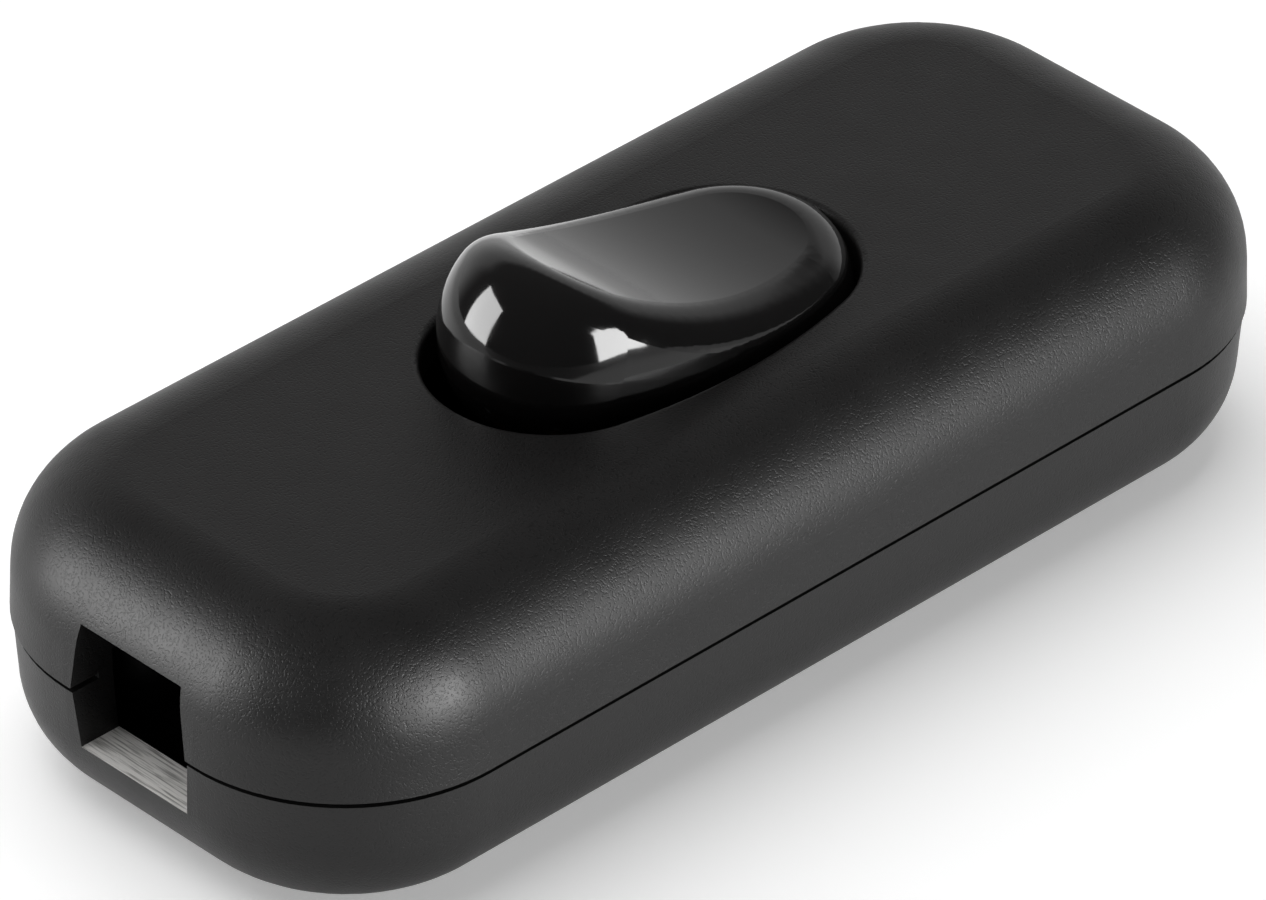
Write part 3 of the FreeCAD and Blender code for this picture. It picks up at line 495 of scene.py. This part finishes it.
@dataclass(frozen=True)
class PlainMoulding(Finish):
    """A smooth moulding, with the cloudy tone and the slight orange peel of its material.

    Attributes:
        cloud: Colour of the cloudier places.
        cloud_mm: Size of the clouds.
        peel_mm: Spacing of the dimples.
        peel_depth_mm: Depth of the dimples.
        peel_strength: The share of their bump that is kept.
        peel_change: How the roughness changes over a dimple.
    """

    cloud: str = "#808080"
    cloud_mm: float = 1.8
    peel_mm: float = 0.25
    peel_depth_mm: float = 0.006
    peel_strength: float = 0.5
    peel_change: Span = (-0.05, 0.08)

    def detail(self, tree: Tree, place: Socket) -> Looks:
        """Cloud the colour and dimple the surface.

        Args:
            tree: The material's node tree.
            place: The place on the object, in metres.

        Returns:
            The colour, the roughness and the bump.
        """
        cloud = noise(tree, place, self.cloud_mm, detail=3.0)
        peel = noise(tree, place, self.peel_mm, detail=2.0)
        rough = tuple(self.roughness + change for change in self.peel_change)
        return {"Base Color": blend(tree, cloud, linear(self.colour), linear(self.cloud)),
                "Roughness": ranged(tree, peel, (0.0, 1.0), rough),
                "Normal": bumped(tree, peel, self.peel_depth_mm, self.peel_strength)}


COVER_ABS = SparkErodedAbs("black ABS, spark-eroded", "#080707", 0.46, ior=1.4)
BASE_ABS = SillHighlightAbs("black ABS, spark-eroded, sills with painted highlight", "#080707", 0.46, ior=1.4)
ROCKER_ABS = PolishedAbs("black ABS, polished", "#151414", 0.06, ior=1.45)
CLAMP_NYLON = PlainMoulding("dark glass-filled nylon, moulded", "#232325", 0.5, cloud="#2e2e30")
PIN_NYLON = PlainMoulding("natural nylon, moulded", "#ded6c2", 0.38, cloud="#cfc5ac")
BRASS = DrawnMetal("brass strip, pressed", "#c39a4e", 0.3, metallic=1.0, tarnish="#94743a")
SILVER = DrawnMetal("silver contact, coined", "#dcdad3", 0.3, metallic=1.0, tarnish="#a9a69c")
ZINC_STEEL = DrawnMetal("steel, zinc plated", "#b9bdc2", 0.32, metallic=1.0, tarnish="#9b9c94")
SPRING_STEEL = DrawnMetal("spring steel, drawn", "#8d9196", 0.27, metallic=1.0, tarnish="#73767a")
# A sheet of painted shade: it darkens the table that the switch reflects on the camera side.
SHADE_CARD = PlainMoulding("grey card, matt", "#5c5c5c", 0.8, cloud="#626262")


def dress(node_name: str, material: bpy.types.Material) -> None:
    """Give a CAD node a material in all its slots.

    Args:
        node_name: The node.
        material: Its material.
    """
    for slot in frame["nodes"][node_name].material_slots:
        slot.material = material
    log.info("dressed %s with %s", node_name, material.name)


def joint_named(name: str) -> dict:
    """Find one of the frame's joints.

    Args:
        name: Its name.

    Returns:
        The joint's row.
    """
    return next(joint for joint in frame["joints"] if joint["name"] == name)


def grid_mesh(name: str, points: np.ndarray, material: bpy.types.Material) -> bpy.types.Object:
    """Make a closed tube-like mesh from a grid of points, and cap its two ends.

    Args:
        name: The piece's name.
        points: An array of rings by points by three, each ring a closed loop, counter-clockwise
            seen from its end.
        material: The piece's material.

    Returns:
        The new object, at the origin.
    """
    rings, around = points.shape[:2]
    index = np.arange(rings * around).reshape(rings, around)
    low, high = index[:-1], index[1:]
    sides = np.stack([low, np.roll(low, -1, axis=1), np.roll(high, -1, axis=1), high], axis=-1)
    faces = sides.reshape(-1, 4).tolist() + [index[0][::-1].tolist(), index[-1].tolist()]
    mesh = bpy.data.meshes.new(name)
    mesh.from_pydata(points.reshape(-1, 3).tolist(), [], faces)
    mesh.polygons.foreach_set("use_smooth", np.ones(len(mesh.polygons), dtype=bool))
    mesh.materials.append(material)
    mesh.update()
    piece = bpy.data.objects.new(name, mesh)
    bpy.context.scene.collection.objects.link(piece)
    return piece


@dataclass
class CaseShells:
    """The two moulded shells that make the body.

    Attributes:
        cover: The upper shell.
        base: The lower shell.
    """

    cover: str = "upper_cover"
    base: str = "lower_base"

    def build(self) -> None:
        """Dress both shells in the textured black plastic."""
        dress(self.cover, COVER_ABS.material())
        dress(self.base, BASE_ABS.material())


@dataclass
class RockerKnob:
    """The glossy rocker, with the pin and the wound spring in its sleeve.

    Attributes:
        tilt_joint: The name of its hinge.
        pin_joint: The name of the pin's slide; not used.
        coil_radius: Mean radius of the spring.
        wire_radius: Radius of the spring's wire.
        coil_start: The spring's lower end along the sleeve, from the pivot.
        coil_end: The spring's upper end along the sleeve.
        turns: Turns of the spring, with the closed ones at its ends.
        turn_steps: Rings of points in one turn.
        wire_sides: Points in one ring.
    """

    tilt_joint: str = "rocker_tilt"
    pin_joint: str = "plunger_slide"
    coil_radius: float = 0.85 * MM
    wire_radius: float = 0.16 * MM
    coil_start: float = -3.4 * MM
    coil_end: float = 1.8 * MM
    turns: float = 8.0
    turn_steps: int = 40
    wire_sides: int = 12

    def build(self) -> None:
        """Dress the rocker and its pin, and wind the spring."""
        dress("rocker", ROCKER_ABS.material())
        dress("plunger", PIN_NYLON.material())
        self.wind_spring()

    def wind_spring(self) -> None:
        """Wind the spring in place of its CAD solid, and let it ride on the rocker."""
        spring = grid_mesh("wound_spring", self.to_part(self.wire_rings()), SPRING_STEEL.material())
        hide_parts("plunger_spring")
        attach(spring, Body.ROCKER.value)
        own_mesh(spring)
        log.info("wound the spring")

    def wire_rings(self) -> np.ndarray:
        """Lay rings of points round the spring's wire.

        The wire's middle runs round the sleeve's axis as (r cos a, r sin a, h(a)). The height h
        climbs evenly in the middle and flattens to one wire thickness a turn at both ends, as ground
        and closed ends do. Each ring of the wire lies across the helix: one way out from the axis,
        the other square to that and to the wire.

        Returns:
            Rings by points by three, about the pivot axis with the rocker level.
        """
        steps = int(self.turns * self.turn_steps)
        share = np.linspace(0.0, 1.0, steps)
        angle = 2 * math.pi * self.turns * share
        closed = 1.0 / self.turns
        climb = np.clip((share - closed) / (1.0 - 2.0 * closed), 0.0, 1.0)
        wire = 2.0 * self.wire_radius
        free = self.coil_end - self.coil_start - 2.0 * wire
        ends = np.minimum(share, closed) / closed + np.maximum(share - 1.0 + closed, 0.0) / closed
        height = self.coil_start + free * climb + wire * ends
        out = np.stack([np.cos(angle), np.sin(angle), np.zeros(steps)], axis=-1)
        middle = self.coil_radius * out
        middle[:, 2] = height
        along = np.gradient(middle, axis=0)
        along /= np.linalg.norm(along, axis=1, keepdims=True)
        side = np.cross(along, out)
        turn = np.linspace(0.0, 2 * math.pi, self.wire_sides, endpoint=False)[None, :, None]
        ring = out[:, None, :] * np.cos(turn) + side[:, None, :] * np.sin(turn)
        return middle[:, None, :] + self.wire_radius * ring

    def to_part(self, local: np.ndarray) -> np.ndarray:
        """Turn points of the rocker's own frame into the part's frame.

        Args:
            local: Points about the pivot axis, the rocker level.

        Returns:
            The same points with the rocker at rest.
        """
        hinge = joint_named(self.tilt_joint)
        tilt = math.radians(-hinge["range_deg"][0] / 2.0)
        pivot_height = hinge["pos_m"][2]
        along = local[..., 0] * math.cos(tilt) + local[..., 2] * math.sin(tilt)
        up = pivot_height - local[..., 0] * math.sin(tilt) + local[..., 2] * math.cos(tilt)
        return np.stack([along, local[..., 1], up], axis=-1)


@dataclass
class SwitchWorks:
    """The see-saw, the brass strips, the wire clamps and the contacts.

    Attributes:
        brass: Nodes of pressed brass.
        silver: Nodes of silver.
    """

    brass: tuple[str, ...] = ("contact_arm", "pivot_terminal", "contact_terminal", "neutral_link",
                              "wire_clamp_1", "wire_clamp_2", "wire_clamp_3", "wire_clamp_4")
    silver: tuple[str, ...] = ("moving_contact", "fixed_contact")

    def build(self) -> None:
        """Dress the brass and the silver."""
        brass, silver = BRASS.material(), SILVER.material()
        for node_name in self.brass:
            dress(node_name, brass)
        for node_name in self.silver:
            dress(node_name, silver)


@dataclass
class Fastenings:
    """The cord clamps and every screw.

    Attributes:
        clamps: The clamp bars.
        screws: The groups of screws.
    """

    clamps: tuple[str, ...] = ("cord_clamp_near", "cord_clamp_far")
    screws: tuple[str, ...] = ("terminal_screws", "clamp_screws", "case_screws")

    def build(self) -> None:
        """Dress the clamps and the screws."""
        nylon, steel = CLAMP_NYLON.material(), ZINC_STEEL.material()
        for node_name in self.clamps:
            dress(node_name, nylon)
        for node_name in self.screws:
            dress(node_name, steel)


@dataclass(frozen=True)
class SoftBox:
    """A soft box that stands in a given direction from the switch.

    Attributes:
        name: Its name.
        bearing_deg: Its bearing from +X.
        rise_deg: Its height above the table as an angle.
        spread_deg: The angles that its width and its height fill, seen from the switch.
        tone: Its brightness, where white paper is 1.
        reach: Its distance from the origin.
    """

    name: str
    bearing_deg: float
    rise_deg: float
    spread_deg: Span
    tone: float
    reach: float = 0.6

    def place(self) -> Place:
        """Work out where it stands.

        Returns:
            The middle of the box.
        """
        bearing, rise = math.radians(self.bearing_deg), math.radians(self.rise_deg)
        level = self.reach * math.cos(rise)
        return level * math.cos(bearing), level * math.sin(bearing), self.reach * math.sin(rise)

    def size(self) -> Span:
        """Work out how large it is.

        Returns:
            Its width and height.
        """
        wide, high = (2.0 * self.reach * math.tan(math.radians(angle) / 2.0) for angle in self.spread_deg)
        return wide, high

    def power(self) -> float:
        """Work out the power that gives its brightness.

        Returns:
            The power in watts.
        """
        wide, high = self.size()
        return self.tone * math.pi * wide * high


@dataclass
class Studio:
    """The white table, the soft light and the camera.

    Attributes:
        azimuth_deg: The camera's bearing from straight in front, towards -X when negative.
        elevation_deg: The camera's height above the table as an angle.
        roll_deg: The camera's turn about its own line of sight.
        distance: The camera's distance from its target.
        target_height: Height of the point that it looks at.
        lens_mm: Focal length of the camera.
        sensor_mm: Width of its sensor.
        shift: The picture's shift, as shares of its width.
        clip: The nearest and the farthest that it sees.
        sweep_way: The way to the middle of the pale sweep behind the table.
        sweep_edge: How far a direction goes that way, from the sweep's edge to its full tone.
        sweep_tone: Brightness that the sweep adds, at the table.
        sweep_fall: Share of that which is left at the sweep's top.
        sweep_top: Sine of the angle at which the sweep ends.
        sweep_fade: How far below and above its top it fades out.
        room_tone: Brightness of the room all round, which the sweep adds to.
        table_half: Half the table's length and width.
        card_start: Where the grey card starts, towards the camera.
        card_rise: Height of the card over the paper.
        paper_lift: Brightness added to the paper where it is looked at.
        paper_tones: The paper's linear grey near the switch and far from it, a painted fall-off of light.
        paper_span: How far from the switch the paper stays white, and where it reaches its far grey.
        boxes: The soft boxes, which only shine.
        key_place: Where the wide lamp hangs that gives light and shadow.
        key_size: Its width and height.
        key_power: Its power in watts.
    """

    azimuth_deg: float = -44.570
    elevation_deg: float = 34.753
    roll_deg: float = 0.468
    distance: float = 0.53264
    target_height: float = 7.253 * MM
    lens_mm: float = 338.43
    sensor_mm: float = 36.0
    shift: Span = (-0.00566, -0.00404)
    clip: Span = (0.01, 20.0)
    sweep_way: Place = (0.71, 0.70, 0.0)
    sweep_edge: Span = (0.35, 0.72)
    sweep_tone: float = 0.72
    sweep_fall: float = 0.65
    sweep_top: float = 0.6
    sweep_fade: Span = (0.08, 0.1)
    room_tone: float = 0.1
    table_half: float = 0.4
    card_start: float = 0.085
    card_rise: float = 0.2 * MM
    paper_lift: float = 0.34
    paper_tones: Span = (0.9, 0.5)
    paper_span: Span = (0.06, 0.13)
    boxes: tuple[SoftBox, ...] = (
        SoftBox("left_box", bearing_deg=141.0, rise_deg=15.0, spread_deg=(30.0, 38.0), tone=13.5),
        SoftBox("right_box", bearing_deg=-82.0, rise_deg=13.0, spread_deg=(34.0, 32.0), tone=20.5),
    )
    key_place: Place = (-0.1, 0.27, 0.85)
    key_size: Span = (1.1, 1.1)
    key_power: float = 8.2

    def build(self) -> None:
        """Lay the table, hang the lights and stand the camera."""
        bpy.context.scene.view_settings.view_transform = "Standard"
        self.lay_table()
        self.light_world()
        self.hang_lights()
        self.stand_camera()

    def lay_table(self) -> None:
        """Lay white paper under the switch, and a grey card on it nearer the camera, out of the picture, as
        painted shade that the switch reflects.
        """
        self.lay_sheet("paper", -self.table_half, 0.0, self.paper_finish())
        self.lay_sheet("shade_card", self.card_start, self.card_rise, SHADE_CARD.material())

    def lay_sheet(self, name: str, start: float, height: float, material: bpy.types.Material) -> None:
        """Lay a flat sheet square to the camera's bearing, up to the table's near edge.

        Args:
            name: Its name.
            start: Where it starts along the level way to the camera.
            height: Its height.
            material: What it is made of.
        """
        bearing = math.radians(self.azimuth_deg)
        near = Vector((math.sin(bearing), -math.cos(bearing), 0.0))
        across = Vector((-near.y, near.x, 0.0))
        lift = Vector((0.0, 0.0, height))
        half = self.table_half
        corners = [near * along + across * side + lift
                   for along, side in ((start, -half), (half, -half), (half, half), (start, half))]
        mesh = bpy.data.meshes.new(name)
        mesh.from_pydata(corners, [], [(0, 1, 2, 3)])
        mesh.materials.append(material)
        made = bpy.data.objects.new(name, mesh)
        bpy.context.scene.collection.objects.link(made)

    def paper_finish(self) -> bpy.types.Material:
        """Make matt paper that keeps the shadow, greys away from the switch as a painted fall-off of light,
        and is lifted to white where it is looked at.

        Returns:
            The material.
        """
        material = bpy.data.materials.new("white paper, matt")
        material.use_nodes = True
        tree = material.node_tree
        tree.nodes.clear()
        rays = add(tree, "LightPath").outputs
        seen = reckon(tree, Sum.MAXIMUM, rays["Is Camera Ray"], rays["Is Glossy Ray"])
        seen = reckon(tree, Sum.MAXIMUM, seen, rays["Is Transmission Ray"])
        lift = reckon(tree, Sum.MULTIPLY, seen, self.paper_lift)
        place = add(tree, "TexCoord").outputs["Object"]
        far = add(tree, "VectorMath", {0: place}, operation="LENGTH").outputs["Value"]
        # Painted fall-off of light: the paper's colour greys with distance from the switch.
        painted_falloff = ranged(tree, far, self.paper_span, smooth=True)
        white, grey = ((tone, tone, tone, 1.0) for tone in self.paper_tones)
        paper = add(tree, "BsdfDiffuse", {"Color": blend(tree, painted_falloff, white, grey)})
        glow = add(tree, "Emission", {"Strength": lift})
        both = add(tree, "AddShader", {0: paper.outputs["BSDF"], 1: glow.outputs["Emission"]})
        add(tree, "OutputMaterial", {"Surface": both.outputs["Shader"]})
        return material

    def light_world(self) -> None:
        """Light a dim room, with a pale sweep behind the table that darkens as it rises."""
        world = bpy.data.worlds.new("studio")
        bpy.context.scene.world = world
        world.use_nodes = True
        tree = world.node_tree
        tree.nodes.clear()
        way = add(tree, "TexCoord").outputs["Generated"]
        height = add(tree, "SeparateXYZ", {"Vector": way}).outputs["Z"]
        behind = add(tree, "VectorMath", {0: way, 1: self.sweep_way}, operation="DOT_PRODUCT")
        width = ranged(tree, behind.outputs["Value"], self.sweep_edge, smooth=True)
        tones = (self.sweep_tone, self.sweep_tone * self.sweep_fall)
        slope = ranged(tree, height, (0.0, self.sweep_top), tones)
        fade = (self.sweep_top - self.sweep_fade[0], self.sweep_top + self.sweep_fade[1])
        top = ranged(tree, height, fade, (1.0, 0.0), smooth=True)
        sweep = reckon(tree, Sum.MULTIPLY, slope, top)
        sweep = reckon(tree, Sum.MULTIPLY, sweep, width)
        tone = reckon(tree, Sum.ADD, sweep, self.room_tone)
        sky = add(tree, "Background", {"Color": (1.0, 1.0, 1.0, 1.0), "Strength": tone})
        add(tree, "OutputWorld", {"Surface": sky.outputs["Background"]})

    def hang_lights(self) -> None:
        """Stand the soft boxes, for the shine alone, and hang the lamp that gives light and shadow."""
        for box in self.boxes:
            lamp = self.hang_lamp(box.name, box.place(), box.size(), box.power())
            lamp.visible_diffuse = False
        key = self.hang_lamp("key", self.key_place, self.key_size, self.key_power)
        key.visible_glossy = False

    def hang_lamp(self, name: str, place: Place, size: Span, power: float) -> bpy.types.Object:
        """Hang one rectangular lamp that faces the switch.

        Args:
            name: Its name.
            place: Where it hangs.
            size: Its width and height.
            power: Its power in watts.

        Returns:
            The lamp.
        """
        light = bpy.data.lights.new(name, "AREA")
        light.shape = "RECTANGLE"
        light.size, light.size_y = size
        light.energy = power
        lamp = bpy.data.objects.new(name, light)
        lamp.location = place
        aim = Vector((0.0, 0.0, self.target_height)) - Vector(place)
        lamp.rotation_euler = aim.to_track_quat("-Z", "Y").to_euler()
        bpy.context.scene.collection.objects.link(lamp)
        return lamp

    def stand_camera(self) -> None:
        """Stand the camera at the photograph's viewing angle."""
        angles = (self.azimuth_deg, self.elevation_deg, self.roll_deg)
        bearing, rise, roll = (math.radians(angle) for angle in angles)
        level = math.cos(rise)
        back = Vector((math.sin(bearing) * level, -math.cos(bearing) * level, math.sin(rise)))
        flat = Vector((0.0, 0.0, 1.0)).cross(back).normalized()
        upright = back.cross(flat)
        right = flat * math.cos(roll) + upright * math.sin(roll)
        up = upright * math.cos(roll) - flat * math.sin(roll)
        lens = bpy.data.cameras.new("camera")
        lens.sensor_fit = "HORIZONTAL"
        lens.sensor_width = self.sensor_mm
        lens.lens = self.lens_mm
        lens.shift_x, lens.shift_y = self.shift
        lens.clip_start, lens.clip_end = self.clip
        camera = bpy.data.objects.new("camera", lens)
        turn = Matrix((right, up, back)).transposed()
        place = Vector((0.0, 0.0, self.target_height)) + back * self.distance
        camera.matrix_world = Matrix.Translation(place) @ turn.to_4x4()
        bpy.context.scene.collection.objects.link(camera)
        bpy.context.scene.camera = camera


def main() -> None:
    """Build each sub-assembly in order."""
    for part in (CaseShells(), RockerKnob(), SwitchWorks(), Fastenings(), Studio()):
        part.build()
        log.info("built %s", type(part).__name__)


if __name__ == "__main__":
    main()
